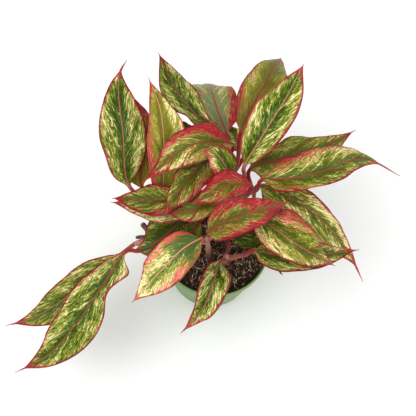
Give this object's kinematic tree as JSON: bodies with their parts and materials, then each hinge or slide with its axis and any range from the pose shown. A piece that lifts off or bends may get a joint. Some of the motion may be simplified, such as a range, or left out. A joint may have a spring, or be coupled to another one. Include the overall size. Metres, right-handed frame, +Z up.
{
  "type": "potted chinese evergreen",
  "caption": "Potted Chinese evergreen: canes in a tapered nursery pot with a stepped collar, carrying arching, pointed, cream-mottled, red-edged leaves.",
  "frame": {"origin": "centre of the pot's flat foot, on the surface that it stands on", "axes": "+Z up through the pot's axis, +X to the right and +Y away from the viewer in the picture, whose lower edge faces -Y"},
  "size_m": [0.4916, 0.4602, 0.3236],
  "materials": {
    "pot_plastic": "sage green moulded plastic, satin, lightly scuffed",
    "potting_soil": "moist dark peat and bark mix with fibres and white grains",
    "cane": "smooth pinkish to green-brown cane with ring scars",
    "leaf": "satin, leathery leaf, green and cream mottled, with a pink midrib and red margins"
  },
  "bodies": {
    "root": {"pot": "pot_plastic", "soil": "potting_soil", "crown_stem": "cane", "crown_leaf_1": "leaf", "crown_leaf_2": "leaf", "crown_leaf_3": "leaf", "crown_leaf_4": "leaf", "crown_leaf_5": "leaf", "crown_leaf_6": "leaf", "crown_leaf_7": "leaf", "crown_leaf_8": "leaf", "back_stem": "cane", "back_leaf_1": "leaf", "back_leaf_2": "leaf", "back_leaf_3": "leaf", "back_leaf_4": "leaf", "back_leaf_5": "leaf", "back_leaf_6": "leaf", "back_leaf_7": "leaf", "left_stem": "cane", "left_leaf_1": "leaf", "left_leaf_2": "leaf", "left_leaf_3": "leaf", "left_leaf_4": "leaf", "left_leaf_5": "leaf", "left_leaf_6": "leaf", "left_leaf_7": "leaf", "front_stem": "cane", "front_leaf_1": "leaf", "front_leaf_2": "leaf", "right_stem": "cane", "right_leaf_1": "leaf", "right_leaf_2": "leaf", "right_leaf_3": "leaf", "right_leaf_4": "leaf", "trailing_stem": "cane", "trailing_leaf_1": "leaf", "trailing_leaf_2": "leaf"}
  },
  "joints": []
}
